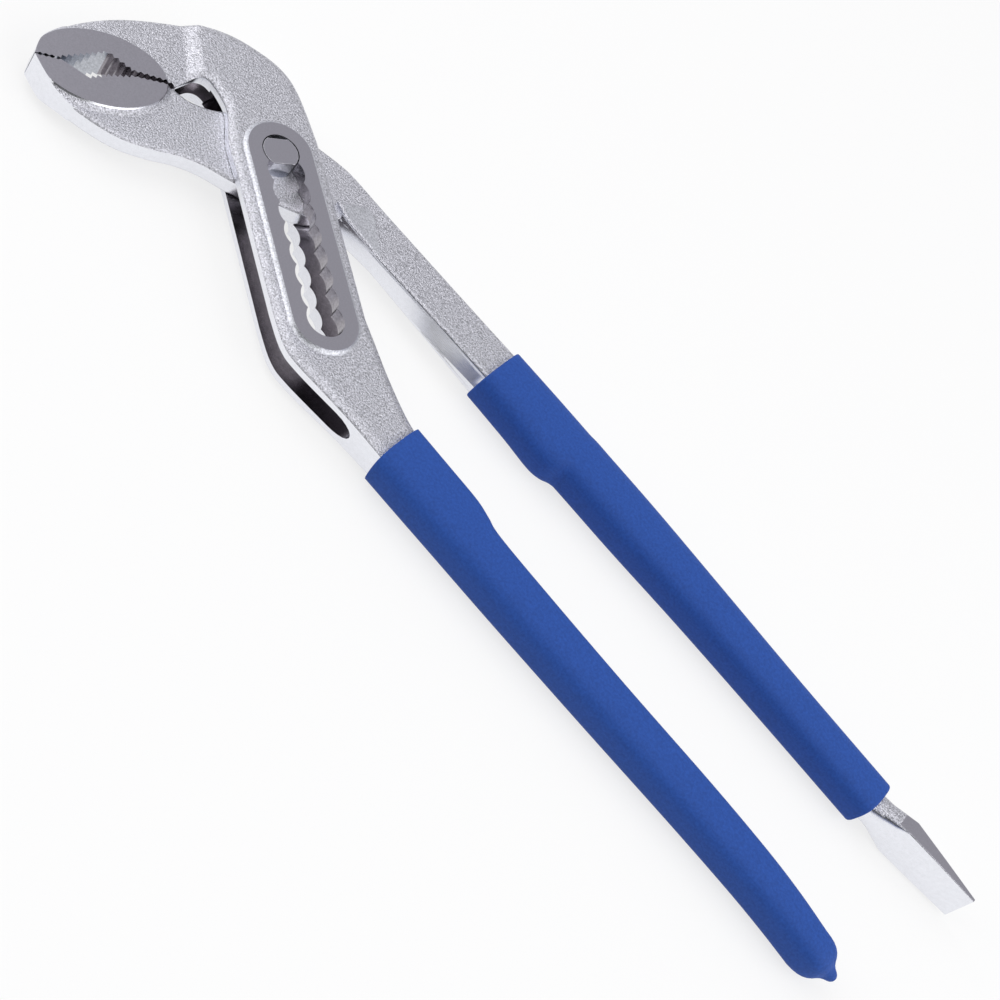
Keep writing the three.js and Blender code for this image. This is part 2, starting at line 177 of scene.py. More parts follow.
def blank(outline, low, high):
    """A slab between two levels, as a bmesh."""
    bm = bmesh.new()
    face = bm.faces.new([bm.verts.new((p.x, p.y, low)) for p in closed(outline)])
    lifted = bmesh.ops.extrude_face_region(bm, geom=[face])["geom"]
    verts = [g for g in lifted if isinstance(g, bmesh.types.BMVert)]
    bmesh.ops.translate(bm, verts=verts, vec=(0, 0, high - low))
    bmesh.ops.recalc_face_normals(bm, faces=bm.faces)
    return bm


def slab(outline, thickness):
    """A slab about the middle plane."""
    return blank(outline, MIDDLE - thickness / 2, MIDDLE + thickness / 2)


def rim_edges(bm, test=lambda point: True):
    """Edges between a face that looks up or down and a side wall, where the test holds."""
    found = []
    for edge in bm.edges:
        if len(edge.link_faces) != 2:
            continue
        wall, face = sorted(abs(f.normal.z) for f in edge.link_faces)
        middle = (edge.verts[0].co + edge.verts[1].co) / 2
        if wall < WALL_TILT < face and test(middle):
            found.append(edge)
    return found


def soften(bm, edges, radius, segments):
    """Rounds the chosen edges."""
    bmesh.ops.bevel(bm, geom=edges, offset=radius, offset_type="OFFSET", affect="EDGES",
                    segments=segments, profile=0.5, material=-1, clamp_overlap=False)


def split(bm, point, normal):
    """Cuts edges into the mesh along an upright plane, and removes nothing."""
    whole = [*bm.verts, *bm.edges, *bm.faces]
    bmesh.ops.bisect_plane(bm, geom=whole, dist=CUT_TOLERANCE,
                           plane_co=(*point, 0), plane_no=(*normal, 0))


def swell(bm, thickness_at, now):
    """Stretches the slab about its middle plane to the thickness that holds at each place."""
    for vert in bm.verts:
        vert.co.z = MIDDLE + (vert.co.z - MIDDLE) * thickness_at(vert.co) / now


print("slabs lie about the level", round(MIDDLE / MM, 2), "mm")

# %% [markdown]
# Forged lumps are joined and milled rooms are cut with the Boolean modifier. It could stay live, but the
# finishes are given face by face later, so each step is applied at once: the evaluated mesh replaces the
# object's own, and the tool is removed.

# %% Join and cut tools
def piece(bm, name):
    """Turns a bmesh into an object."""
    mesh = bpy.data.meshes.new(name)
    bm.to_mesh(mesh)
    bm.free()
    made = bpy.data.objects.new(name, mesh)
    bpy.context.scene.collection.objects.link(made)
    return made


def carve(target, bm, operation):
    """Joins, cuts or trims an object with another shape, for good."""
    tool = piece(bm, "tool")
    step = target.modifiers.new("carve", "BOOLEAN")
    step.operation = operation
    step.solver = "EXACT"
    step.object = tool
    ready = target.evaluated_get(bpy.context.evaluated_depsgraph_get())
    mesh = bpy.data.meshes.new_from_object(ready)
    target.modifiers.clear()
    target.data = mesh
    bpy.data.objects.remove(tool)


def join_within(target, bm, limit):
    """Joins a shape to an object, after trimming the shape to a limit."""
    trimmed = piece(bm, "trimmed")
    carve(trimmed, limit, "INTERSECT")
    bm = bmesh.new()
    bm.from_mesh(trimmed.data)
    bpy.data.objects.remove(trimmed)
    carve(target, bm, "UNION")


# %% [markdown]
# The handles' tangs swell and narrow under the grips. One table per handle gives the middle line and the
# width at a few stations; the arms use it for their tangs, and the grips for their outside.

# %% Handle tables
SLOTTED_MIDDLE = SLOT_END.y / MM - 6.2
INNER_MIDDLE = 11.0
START = GRIP_START / MM

# Each row: distance from the grip's start, middle line, width
SLOTTED_TANG = [
    (0, 0.2, 13.0), (12, 0.15, 12.8), (21.5, 0.1, 12.5), (26.5, -0.35, 11.4), (31.5, -0.9, 10.1),
    (47.5, -1.0, 9.5), (76.5, -0.75, 8.8), (106.5, -0.15, 8.4), (126.5, -0.2, 7.8), (138.5, -0.8, 7.1),
    (148.5, -1.85, 6.2),
]
INNER_TANG = [
    (0, 0.05, 12.5), (13.5, 0.1, 13.3), (22.5, -0.1, 14.1), (26.5, 0.3, 13.3), (29.5, 1.25, 11.6),
    (33.5, 1.4, 11.3), (51.5, 1.6, 11.3), (76.5, 1.8, 9.9), (106.5, 1.7, 8.9), (138.6, 1.7, 8.8),
]


def tang_edge(rows, middle, side):
    """The tang's edge on one side, as plan points."""
    return [handle_point(START + x, middle + shift + side * width / 2) for x, shift, width in rows]


print("tangs", SLOTTED_TANG[-1][0], "and", INNER_TANG[-1][0], "mm long")

# %% [markdown]
# The slotted arm is one forging: upper jaw, two plates with the slot between raised pads, and the
# handle. It could be joined from separate slabs, but the real one flows from end to end, so it starts as
# one outline. Below the bite line the outline has some spare metal, which a later cut takes off.

# %% Slotted arm: the outline
PLATE_HALF_WIDTH = 12.4
NOSE = -59.2
JAW_HEEL = -25.2
SPARE = 6.0

jaw_back = curve([
    jaw_point(NOSE, 0), jaw_point(-56.2, 6.7), jaw_point(-46.2, 13.6),
    jaw_point(-33, 18.2), jaw_point(-15, 20.1), jaw_point(-3, 16.8), jaw_point(6.4, 8.7),
    slot_point(-5, PLATE_HALF_WIDTH - 0.3),
])
right_edge = curve([
    slot_point(46, PLATE_HALF_WIDTH - 0.4), handle_point(60.5, -19.9),
    *tang_edge(SLOTTED_TANG, SLOTTED_MIDDLE, 1),
])
left_edge = curve([
    *reversed(tang_edge(SLOTTED_TANG, SLOTTED_MIDDLE, -1)), handle_point(62.4, -37.2),
    handle_point(46.5, -38.5), handle_point(40, -37.8), slot_point(45, -PLATE_HALF_WIDTH),
])
throat = curve([
    slot_point(7, -PLATE_HALF_WIDTH), slot_point(-2.5, -12.6), slot_point(-11, -10.9),
    slot_point(-16, -11.6), slot_point(-20.4, -13.6), slot_point(-21.4, -16.5),
    slot_point(-19.7, -20.2), jaw_point(JAW_HEEL, -0.5),
])
below_bite = [jaw_point(JAW_HEEL, -SPARE), jaw_point(NOSE, -SPARE)]
slotted_plan = [*jaw_back, *right_edge, *left_edge, *throat, *below_bite]
print("slotted outline:", len(slotted_plan), "points")

# %% [markdown]
# The slab is split across the neck, the jaw side is pressed thinner, and what lies between the two cuts
# becomes the ramp that shows as a light strip on the real tool. The faces fall away towards the edges in
# a low crown. A bevel makes a circular round, so the slab is beveled while it is too tall, and pressing
# it down to size flattens the round to the crown.

# %% Slotted arm: the forged blank
JOINT_THICKNESS = 11.2 * MM
JAW_THICKNESS = 7.2 * MM
TANG_THICKNESS = 9.2 * MM
RAMP_FOOT = -21.5
RAMP_CREST = -17.5
TAPER_START = 52.0
CROWN_WIDTH = 2.8 * MM
CROWN_HEIGHT = 1.25 * MM
CROWN_END = GRIP_START + 8 * MM
CROWN_SEGMENTS = 7


def along_bite(point):
    """How far along the bite line a place is, in millimetres."""
    return point.xy.dot(BITE_DIRECTION) / MM


def share_of(value, start, end):
    """How far a value is on its way from start to end, from 0 to 1."""
    return min(max((value - start) / (end - start), 0), 1)


def slotted_thickness(point):
    """The blank's thickness: thin jaw, ramp, full joint, and a taper towards the grip."""
    rise = share_of(along_bite(point), RAMP_FOOT, RAMP_CREST)
    taper = share_of(point.x / MM, TAPER_START, START)
    joint = JOINT_THICKNESS + taper * (TANG_THICKNESS - JOINT_THICKNESS)
    return JAW_THICKNESS + rise * (joint - JAW_THICKNESS)


tall = JOINT_THICKNESS * CROWN_WIDTH / CROWN_HEIGHT
bm = slab(slotted_plan, tall)
soften(bm, rim_edges(bm, lambda middle: middle.x < CROWN_END), CROWN_WIDTH, CROWN_SEGMENTS)
for along in (RAMP_FOOT, RAMP_CREST):
    split(bm, BITE_DIRECTION * along * MM, BITE_DIRECTION)
for x in (TAPER_START, START):
    split(bm, handle_point(x, 0), (1, 0))
swell(bm, slotted_thickness, tall)
print("slotted blank:", len(bm.faces), "faces")
slotted_arm = piece(bm, "slotted_arm_forging")

# %% [markdown]
# On both faces a pad stands up around the slot, and a flat lens is ground on the jaws. Each has a hollow
# fillet at its foot. A bevel with a hollow profile could make it, but it gives little control of the
# height, so a fillet is an inset repeated: every inset steps inwards a little less and rises a little
# more, along part of a round.

# %% Fillets at the foot of a raised face
FILLET_STEPS = 6
FILLET_TURN = math.radians(65)
SINK = 0.08 * MM


def filleted(outline, foot, top, width):
    """A slab about the middle plane whose two faces rise from foot to top over a hollow fillet."""
    bm = slab(outline, 2 * foot)
    for face in [f for f in bm.faces if abs(f.normal.z) > 0.9]:
        inward, upward = 0.0, 0.0
        for step in range(1, FILLET_STEPS + 1):
            angle = step / FILLET_STEPS * FILLET_TURN
            inner = width * math.sin(angle) / math.sin(FILLET_TURN)
            upper = (top - foot) * (1 - math.cos(angle)) / (1 - math.cos(FILLET_TURN))
            bmesh.ops.inset_region(bm, faces=[face], thickness=inner - inward, depth=upper - upward,
                                   use_even_offset=True, use_boundary=True)
            inward, upward = inner, upper
    return bm


print("fillets of", FILLET_STEPS, "steps")

# %% [markdown]
# The pad is two half rounds joined along the slot, and the lens an ellipse on the bite line. Both sink a
# little into the blank, so that the union never meets two faces at one level. The lens is trimmed to the
# jaw's outline first, because grinding can't leave metal beyond it.

# %% Raised pads and the ground lens
PAD_RADIUS = 8.5
PAD_FILLET = 1.6
LENS_CENTRE = jaw_point(-43, 0)
LENS_LENGTH = 16.2
LENS_HEIGHT = 11.0
LENS_TOP = 4.0 * MM
LENS_FILLET = 0.9
LENS_POINTS = 96


def stadium(radius):
    """The pad's outline: two half rounds joined along the slot."""
    far = arc(SLOT_END, radius * MM, SLOT_TURN - math.pi / 2, math.pi, 32)
    near = arc(PIVOT, radius * MM, SLOT_TURN + math.pi / 2, math.pi, 32)
    return [*far, *near]


def lens_outline(wider):
    """The ellipse that the jaws' faces are ground to, widened by a margin."""
    made = []
    for i in range(LENS_POINTS):
        angle = 2 * math.pi * i / LENS_POINTS
        along = (LENS_LENGTH + wider) * math.cos(angle)
        across = (LENS_HEIGHT + wider) * math.sin(angle)
        made.append(place(LENS_CENTRE, BITE_DIRECTION, along * MM, across * MM))
    return made


pad_foot = JOINT_THICKNESS / 2 - SINK
pad = filleted(stadium(PAD_RADIUS + PAD_FILLET), pad_foot, PAD_HIGH - MIDDLE, PAD_FILLET * MM)
carve(slotted_arm, pad, "UNION")
lens = filleted(lens_outline(LENS_FILLET), JAW_THICKNESS / 2 - SINK, LENS_TOP, LENS_FILLET * MM)
join_within(slotted_arm, lens, blank(slotted_plan, PAD_LOW, PAD_HIGH))
print("with pads and lens:", len(slotted_arm.data.polygons), "faces")

# %% [markdown]
# The slot is a row of drilled holes that run into each other, which leaves cusps for the pin to lock
# behind. Nine cylinders could be cut one after another, but one outline made of arcs needs a single cut
# and leaves clean cusps.

# %% Cutter for the slot
SLOT_STEPS = 8
HOLE_RADIUS = 4.9
PAST = 2 * MM


def slot_outline():
    """The scalloped slot: one arc per hole up one side and back down the other."""
    pitch = SLOT_LENGTH / MM / SLOT_STEPS
    half = math.asin(pitch / 2 / HOLE_RADIUS)
    made = []
    for side in (1, -1):
        holes = range(SLOT_STEPS + 1) if side > 0 else range(SLOT_STEPS, -1, -1)
        for hole in holes:
            first = math.pi / 2 if hole == (0 if side > 0 else SLOT_STEPS) else half
            last = math.pi / 2 if hole == (SLOT_STEPS if side > 0 else 0) else half
            start = SLOT_TURN + side * math.pi / 2 + first
            made += arc(slot_point(hole * pitch, 0), HOLE_RADIUS * MM, start, -(first + last), 14)
    return made


def through(outline):
    """A cutter that runs past both faces."""
    return blank(outline, PAD_LOW - PAST, PAD_HIGH + PAST)


print("slot of", SLOT_STEPS + 1, "holes,", round(SLOT_LENGTH / MM / SLOT_STEPS, 2), "mm apart")

# %% [markdown]
# The room between the plates is milled by a round cutter, so it runs out in a curve near the handle. Its
# end there is rounded like the cutter's corner. The bevel is made on a taller shape that is pressed
# down afterwards, the same way as the crown. A second, thinner room hollows the edge of the throat.

# %% Cutters for the box
BOX_HALF_GAP = 2.75 * MM
BOX_TOP_RADIUS = 23.0
BOX_NOSE_RADIUS = 2.6 * MM
BOX_NOSE_STRETCH = 2.2
BOX_CUTTER_RADIUS = 40.0
BOX_CUTTER_CENTRE = SLOT_END + handle_point(25 - BOX_CUTTER_RADIUS, -9.5)
RUN_OUT_SHARE = 0.8
RUN_OUT_X = BOX_CUTTER_CENTRE.x + RUN_OUT_SHARE * BOX_CUTTER_RADIUS * MM
THROAT_CENTRE = slot_point(-17.6, -16.2)
THROAT_RADIUS = 6.6 * MM
THROAT_HALF_GAP = 2.0 * MM


def box_outline():
    """The room between the plates."""
    top = arc(PIVOT, BOX_TOP_RADIUS * MM, SLOT_TURN + math.pi / 2, math.pi, 32)
    end = arc(BOX_CUTTER_CENTRE, BOX_CUTTER_RADIUS * MM, -math.pi / 4, math.pi / 2, 48)
    return [*top, *end]


def in_run_out(point):
    """Whether a place is in the lower part of the room's end."""
    return point.x > RUN_OUT_X and point.y < BOX_CUTTER_CENTRE.y + PAST


def box_cutter():
    """The room as a shape, with its run-out rounded."""
    tall = 2 * BOX_HALF_GAP * BOX_NOSE_STRETCH
    bm = slab(box_outline(), tall)
    soften(bm, rim_edges(bm, in_run_out), BOX_NOSE_RADIUS * BOX_NOSE_STRETCH, 5)
    swell(bm, lambda point: 2 * BOX_HALF_GAP, tall)
    return bm


print("room between the plates:", round(2 * BOX_HALF_GAP / MM, 2), "mm")

# %% [markdown]
# The mouth of the jaws is broached with rows of small teeth. Bump in a material could suggest them, but
# they show in outline, so they are cut: one closed zigzag holds the notch of the upper jaw, the hollow
# of the lower one, and the bite to both sides.

# %% Cutter for the mouth
BITE_GAP = 0.3
TOOTH_PITCH = 1.5
TOOTH_DEPTH = 0.8
TIP_TOOTH_DEPTH = 0.35
HEEL_TOOTH_DEPTHS = (0.6, 0.4)
FAR = 120.0


def teeth(start, end, depth=TOOTH_DEPTH):
    """A zigzag from one point to another, with its tips on the line and its roots to the left of it."""
    count = max(1, round((end - start).length / MM / TOOTH_PITCH))
    run = end - start
    left = left_of(run).normalized() * depth * MM
    made = []
    for i in range(count):
        made += [start + run * (i / count), start + run * ((i + 0.5) / count) + left]
    return made


def mouth_outline():
    """A toothed notch in the upper jaw over a toothed hollow in the lower one, and the bite beside."""
    tip_high, tip_low = jaw_point(-58.6, 0.15), jaw_point(-58.6, -0.15)
    lip_high, lip_low = jaw_point(-53, 0.15), jaw_point(-53, -0.15)
    peak, trough, shelf = jaw_point(-41.3, 4.8), jaw_point(-46.9, -3.6), jaw_point(-41.7, -1.4)
    waist_high, waist_low = jaw_point(-35.7, 1.1), jaw_point(-35.8, -0.15)
    heel_high, heel_low = jaw_point(-24.8, 0.25), jaw_point(-24.8, -0.15)
    upper = [*teeth(tip_high, lip_high, TIP_TOOTH_DEPTH), *teeth(lip_high, peak),
             *teeth(peak, waist_high), *teeth(waist_high, heel_high, HEEL_TOOTH_DEPTHS[0]), heel_high]
    lower = [*teeth(heel_low, waist_low, HEEL_TOOTH_DEPTHS[1]), *teeth(waist_low, shelf),
             *teeth(shelf, trough), trough, *teeth(lip_low, tip_low, TIP_TOOTH_DEPTH), tip_low]
    return [*upper, *lower]


def bite_side(side, reach):
    """Everything on one side of the bite line, as far along it as the reach."""
    edge = -side * BITE_GAP / 2
    far = side * FAR
    return [jaw_point(-FAR, edge), jaw_point(reach, edge), jaw_point(reach, far), jaw_point(-FAR, far)]


print("mouth outline:", len(mouth_outline()), "points")

# %% [markdown]
# Now the blank goes through the shop: the spare metal below the bite comes off, the box and the throat
# are milled, the slot is drilled and the mouth is broached. Each cut is a Boolean difference.

# %% Slotted arm: the cuts
carve(slotted_arm, through(bite_side(-1, RAMP_FOOT)), "DIFFERENCE")
carve(slotted_arm, box_cutter(), "DIFFERENCE")
relief = arc(THROAT_CENTRE, THROAT_RADIUS, 0, 2 * math.pi, 48)
carve(slotted_arm, slab(relief, 2 * THROAT_HALF_GAP), "DIFFERENCE")
carve(slotted_arm, through(slot_outline()), "DIFFERENCE")
carve(slotted_arm, through(mouth_outline()), "DIFFERENCE")
print("slotted arm cut:", len(slotted_arm.data.polygons), "faces")

# %% [markdown]
# The inner arm is forged thinner, because its web slips between the plates. Past the plates it thickens
# into the handle. It is made the same way as the slotted arm: one outline, one slab, rounded edges, and
# a thickness that changes along the handle.

# %% Inner arm: web and handle
WEB_THICKNESS = 5.2 * MM
HANDLE_THICKNESS = 9.2 * MM
WEB_EDGE_RADIUS = 1.0 * MM
SHOULDER_X = 20.0

belly = curve([
    jaw_point(NOSE, 0), jaw_point(-56, -6.6), jaw_point(-51.5, -11.2),
    jaw_point(-46.4, -14.9), jaw_point(-39.4, -18.2), jaw_point(-32, -19.5), jaw_point(-24.7, -19.8),
    jaw_point(-18.6, -21.2), slot_point(7.4, -PLATE_HALF_WIDTH), slot_point(12.6, -2), slot_point(15.2, 5),
    slot_point(14.8, 13.4), handle_point(24, 4.3), handle_point(50, 4.7),
    *tang_edge(INNER_TANG, INNER_MIDDLE, -1),
])
inner_back = curve([
    *reversed(tang_edge(INNER_TANG, INNER_MIDDLE, 1)), handle_point(50, 17.3), handle_point(28, 17.4),
    handle_point(16, 17.5), handle_point(9.8, 16.9), handle_point(2, 14.6), slot_point(-12.4, 6),
    slot_point(-14.4, -3), slot_point(-13.6, -12), slot_point(-15.4, -18.6), jaw_point(JAW_HEEL, 0.5),
])
above_bite = [jaw_point(JAW_HEEL, SPARE), jaw_point(NOSE, SPARE)]
inner_plan = [*belly, *inner_back, *above_bite]


def inner_thickness(point):
    """Thin web, then a handle that thickens up to the grip."""
    share = share_of(point.x / MM, SHOULDER_X, START)
    return WEB_THICKNESS + share * (HANDLE_THICKNESS - WEB_THICKNESS)


inner_blank = slab(inner_plan, WEB_THICKNESS)
soften(inner_blank, rim_edges(inner_blank), WEB_EDGE_RADIUS, 4)
for x in (SHOULDER_X, START):
    split(inner_blank, handle_point(x, 0), (1, 0))
swell(inner_blank, inner_thickness, WEB_THICKNESS)
print("inner blank:", len(inner_blank.faces), "faces")

# %% [markdown]
# The sides of a die forging lean out to a parting line, where the two dies met. On the bare handle that
# line shows as a ridge. A whole tapered side could be lofted, but it is enough to cut one sloping line
# into the wall and pull its points out, more and more over the first stretch.

# %% Inner arm: parting line
PART_START = Vector((36 * MM, 0, 4.0 * MM))
PART_END = Vector((74 * MM, 0, 6.8 * MM))
PART_FADE = 24 * MM
DRAFT = 1.4 * MM

run = PART_END - PART_START
walls = [f for f in inner_blank.faces if abs(f.normal.z) < WALL_TILT and f.normal.y < -WALL_TILT
         and PART_START.x < f.calc_center_median().x < PART_END.x]
near = {g for f in walls for g in (f, *f.edges, *f.verts)}
parted = bmesh.ops.bisect_plane(inner_blank, geom=list(near), dist=CUT_TOLERANCE,
                                plane_co=PART_START, plane_no=(run.z, 0, -run.x))
line = [g for g in parted["geom_cut"] if isinstance(g, bmesh.types.BMVert)]
for vert in line:
    share = share_of(vert.co.x, PART_START.x, PART_START.x + PART_FADE)
    vert.co.y -= DRAFT * share * share * (3 - 2 * share)
print("parting line of", len(line), "points")
inner_arm = piece(inner_blank, "inner_arm_forging")

# %% [markdown]
# Beside the plates the inner arm carries a low stop: a rounded lip along the plate's edge, whose back
# slopes down into the handle. It could be pulled up from the arm's own faces, but a small slab with a
# tilted face, joined to the arm, keeps its edge crisp.

# %% Inner arm: the stop beside the plates
STOP_NEAR = 14.0
STOP_START = 11.3
STOP_END_X = 40
STOP_HALF = 4.3
STOP_SLOPE = 0.15
STOP_EDGE_RADIUS = 0.9 * MM


def across_slot(point):
    """How far to the left of the slot's middle line a place is, in millimetres."""
    return point.xy.dot(left_of(SLOT_DIRECTION)) / MM


def stop_thickness(point):
    """The lip's height at the plate's edge, falling away across the handle."""
    return 2 * (STOP_HALF - STOP_SLOPE * (across_slot(point) - STOP_NEAR)) * MM


stop_plan = [
    slot_point(STOP_START, STOP_NEAR), slot_point(12.6, STOP_NEAR), slot_point(16.4, 15.0),
    handle_point(27, 4.4), handle_point(STOP_END_X, 4.8), handle_point(STOP_END_X, 12),
    slot_point(STOP_START, 23.4),
]
bm = blank(stop_plan, MIDDLE - STOP_HALF * MM, MIDDLE + STOP_HALF * MM)
swell(bm, stop_thickness, 2 * STOP_HALF * MM)
soften(bm, rim_edges(bm), STOP_EDGE_RADIUS, 4)
carve(inner_arm, bm, "UNION")
print("inner arm with stop:", len(inner_arm.data.polygons), "faces")

# %% [markdown]
# The lower jaw's head is ground to the other half of the lens, with a wider fillet because the web is
# thinner than the upper jaw. The same ellipse, the same mouth and the same bite line as on the slotted
# arm are used again, so the two jaws always meet. The pin's bore goes through the web.

# %% Inner arm: head, bite and bore
HEAD_FILLET = 2.3

head = filleted(lens_outline(HEAD_FILLET), WEB_THICKNESS / 2 - SINK, LENS_TOP, HEAD_FILLET * MM)
join_within(inner_arm, head, through(inner_plan))
carve(inner_arm, through(bite_side(1, FAR)), "DIFFERENCE")
carve(inner_arm, through(mouth_outline()), "DIFFERENCE")
carve(inner_arm, through(arc(PIVOT, HOLE_RADIUS * MM, 0, 2 * math.pi, 64)), "DIFFERENCE")
print("inner arm cut:", len(inner_arm.data.polygons), "faces")

# %% [markdown]
# The blade and the grips are both skins through sections across a handle. A section is a ring of points
# between an ellipse and a square, which one number sets. A curve object with a bevel could carry a
# profile along a line, but it can't change from round to square on the way, so the rings are bridged.

# %% Section tools
RING_POINTS = 48


def rounded(squareness):
    """Corner shares of a ring between an ellipse, at 2, and a square."""
    made = []
    for i in range(RING_POINTS):
        angle = 2 * math.pi * (i + 0.5) / RING_POINTS
        c, s = math.cos(angle), math.sin(angle)
        u = math.copysign(abs(c) ** (2 / squareness), c)
        v = math.copysign(abs(s) ** (2 / squareness), s)
        made.append((u, v))
    return made


def section(x, middle, width, height, corners):
    """A ring across the handle, each corner given in shares of half the width and half the height."""
    made = []
    for u, v in corners:
        made.append(Vector((x * MM, (middle + u * width / 2) * MM, MIDDLE + v * height / 2 * MM)))
    return made


def loft(sections, cap_start=True, cap_end=True):
    """A skin through sections that have the same number of points."""
    bm = bmesh.new()
    rings = [[bm.verts.new(p) for p in points] for points in sections]
    loops = []
    for ring in rings:
        loops.append([bm.edges.new((ring[i - 1], ring[i])) for i in range(len(ring))])
    for a, b in zip(loops, loops[1:]):
        bmesh.ops.bridge_loops(bm, edges=[*a, *b])
    if cap_start:
        bm.faces.new(rings[0])
    if cap_end:
        bm.faces.new(rings[-1])
    bmesh.ops.recalc_face_normals(bm, faces=bm.faces)
    return bm


print("rings of", RING_POINTS, "points")

# %% [markdown]
# The inner arm's handle ends in a screwdriver blade. It is forged flat across the tool, so from the
# front only its narrow edge shows, and its broad side faces sideways. A few sections, from an oval neck
# to a flat wedge, give the flare and the blade.

# %% Inner arm: screwdriver blade
# Each row: distance along the handle, middle line, width in plan, height, squareness of the section
BLADE = [
    (210.0, 12.75, 7.6, 8.4, 2.4), (214.0, 12.8, 7.4, 8.6, 2.4), (217.0, 13.0, 6.6, 9.6, 2.6),
    (220.5, 13.1, 5.8, 11.4, 4.0), (223.8, 13.2, 5.0, 12.4, 14.0), (235.0, 13.25, 3.0, 11.6, 18.0),
    (246.5, 13.3, 0.9, 10.6, 18.0),
]

carve(inner_arm, loft([section(*row[:4], rounded(row[4])) for row in BLADE]), "UNION")
print("inner arm with blade:", len(inner_arm.data.polygons), "faces")

# %% [markdown]
# The pin is a plain round bar with two flats on it. Locked, as in the photograph, its full diameter lies
# across the slot and its flats look along it, so it can't pass the cusps. A cylinder could be cut twice,
# but two arcs already draw the outline.

# %% Pivot pin
PIN_RADIUS = 4.65
FLAT_HALF = 3.7
PIN_EDGE_RADIUS = 0.15 * MM


def pin_outline():
    """A circle with two flats across the slot's direction."""
    open_angle = math.acos(FLAT_HALF / PIN_RADIUS)
    span = math.pi - 2 * open_angle
    one = arc(PIVOT, PIN_RADIUS * MM, SLOT_TURN + open_angle, span, 24)
    two = arc(PIVOT, PIN_RADIUS * MM, SLOT_TURN + math.pi + open_angle, span, 24)
    return [*one, *two]


bm = blank(pin_outline(), PAD_LOW, PAD_HIGH)
soften(bm, rim_edges(bm), PIN_EDGE_RADIUS, 2)
pin = piece(bm, "pivot_pin_bar")
print("pin:", len(pin.data.polygons), "faces")

# %% [markdown]
# The grips are dipped: a coat that follows the tang and softens its corners. The tang's mesh could be
# pushed outwards, but its sharp corners would stay, so the skin is lofted through many rounded sections,
# left open where the steel comes out, then given its thickness by Solidify and a soft rim by Bevel.

# %% Grip tools
COAT = 2.1
COAT_CLEARANCE = 0.1
GRIP_HEIGHT = 12.6
GRIP_TIP_HEIGHT = 11.4
GRIP_CURVE_STEPS = 6
SQUARENESS = 2.8
RIM_RADIUS = 0.5 * MM
RIM_ANGLE = math.radians(50)


def grip_rows(rows, middle):
    """Place, middle line, width and height of the coat's sections along a tang."""
    wide = [(x, shift, width + 2 * COAT) for x, shift, width in rows]
    low = curve(tang_edge(wide, middle, -1), GRIP_CURVE_STEPS)
    high = curve(tang_edge(wide, middle, 1), GRIP_CURVE_STEPS)
    end = rows[-1][0]
    made = []
    for a, b in zip(low, high):
        centre = (a + b) / 2 / MM
        share = (centre.x - START) / end
        height = GRIP_HEIGHT + share * (GRIP_TIP_HEIGHT - GRIP_HEIGHT)
        made.append((centre.x, centre.y, (b - a).length / MM, height))
    return made


def grip_sections(rows):
    """Rounded sections through the rows."""
    ring = rounded(SQUARENESS)
    return [section(*row, ring) for row in rows]


def lean(points, slope, shift=0.0):
    """Tilts a rim about its front edge and moves it along the handle."""
    for point in points:
        point.x += slope * (PAD_HIGH - point.z) + shift


def grip(bm, name):
    """Gives a lofted skin its thickness and a soft rim."""
    made = piece(bm, name)
    coat = made.modifiers.new("coat", "SOLIDIFY")
    coat.thickness = (COAT - COAT_CLEARANCE) * MM
    coat.offset = -1
    rim = made.modifiers.new("rim", "BEVEL")
    rim.width = RIM_RADIUS
    rim.segments = 3
    rim.limit_method = "ANGLE"
    rim.angle_limit = RIM_ANGLE
    made.data.polygons.foreach_set("use_smooth", [True] * len(made.data.polygons))
    return made


print("coat", COAT, "mm thick")

# %% [markdown]
# The inner arm's coat is open at both ends, since the blade comes out of it. Its rims aren't square to
# the handle: the tool is dipped at a slant, so each rim is tilted a little.

# %% Inner arm's grip
INNER_COAT_END = (140, 1.7, 8.8)
INNER_COAT_SHIFT = 0.2
INNER_RIM_SLOPE = -0.04
INNER_RIM_SHIFT = -0.3 * MM
INNER_END_SLOPE = -0.1

rows = grip_rows([*INNER_TANG[:-1], INNER_COAT_END], INNER_MIDDLE + INNER_COAT_SHIFT)
sections = grip_sections(rows)
lean(sections[0], INNER_RIM_SLOPE, INNER_RIM_SHIFT)
lean(sections[-1], INNER_END_SLOPE)
inner_grip = grip(loft(sections, False, False), "inner_grip_coat")
print("inner grip:", len(inner_grip.data.polygons), "faces before Solidify")

# %% [markdown]
# The slotted arm's coat closes over the end of its tang. A dipped coat hangs down while it sets, and the
# last drop leaves a small nub, so the sections shrink along a round and then along a narrow tip.

# %% Slotted arm's grip
# Each row: distance past the tang's end, share of the last section's width and height
CAP = [
    (1.6, 0.98), (3.0, 0.94), (4.2, 0.87), (5.2, 0.77), (6.0, 0.64), (6.6, 0.5), (7.2, 0.39), (7.9, 0.31),
    (8.6, 0.26), (9.2, 0.2), (9.6, 0.12),
]
SLOTTED_RIM_SLOPE = 0.1

rows = grip_rows(SLOTTED_TANG, SLOTTED_MIDDLE)
x, middle, width, height = rows[-1]
cap_rows = [(x + past, middle, width * share, height * share) for past, share in CAP]
sections = grip_sections([*rows, *cap_rows])
lean(sections[0], SLOTTED_RIM_SLOPE)
slotted_grip = grip(loft(sections, False, True), "slotted_grip_coat")
print("slotted grip:", len(slotted_grip.data.polygons), "faces before Solidify")

# %% [markdown]
# All finishes on this tool have a fine grain: the blasted skin strongly, the ground faces and the vinyl
# faintly. A noise texture could be set up in every material, but one node group keeps them alike. It
# gives a height for the bump and a shade that multiplies the colour.

# %% Shared grain
NOISE_DETAIL = 3.0
NOISE_ROUGHNESS = 0.6
NOISE_RANGE = (0.3, 0.7)
BRIGHT_SHARE = 0.4


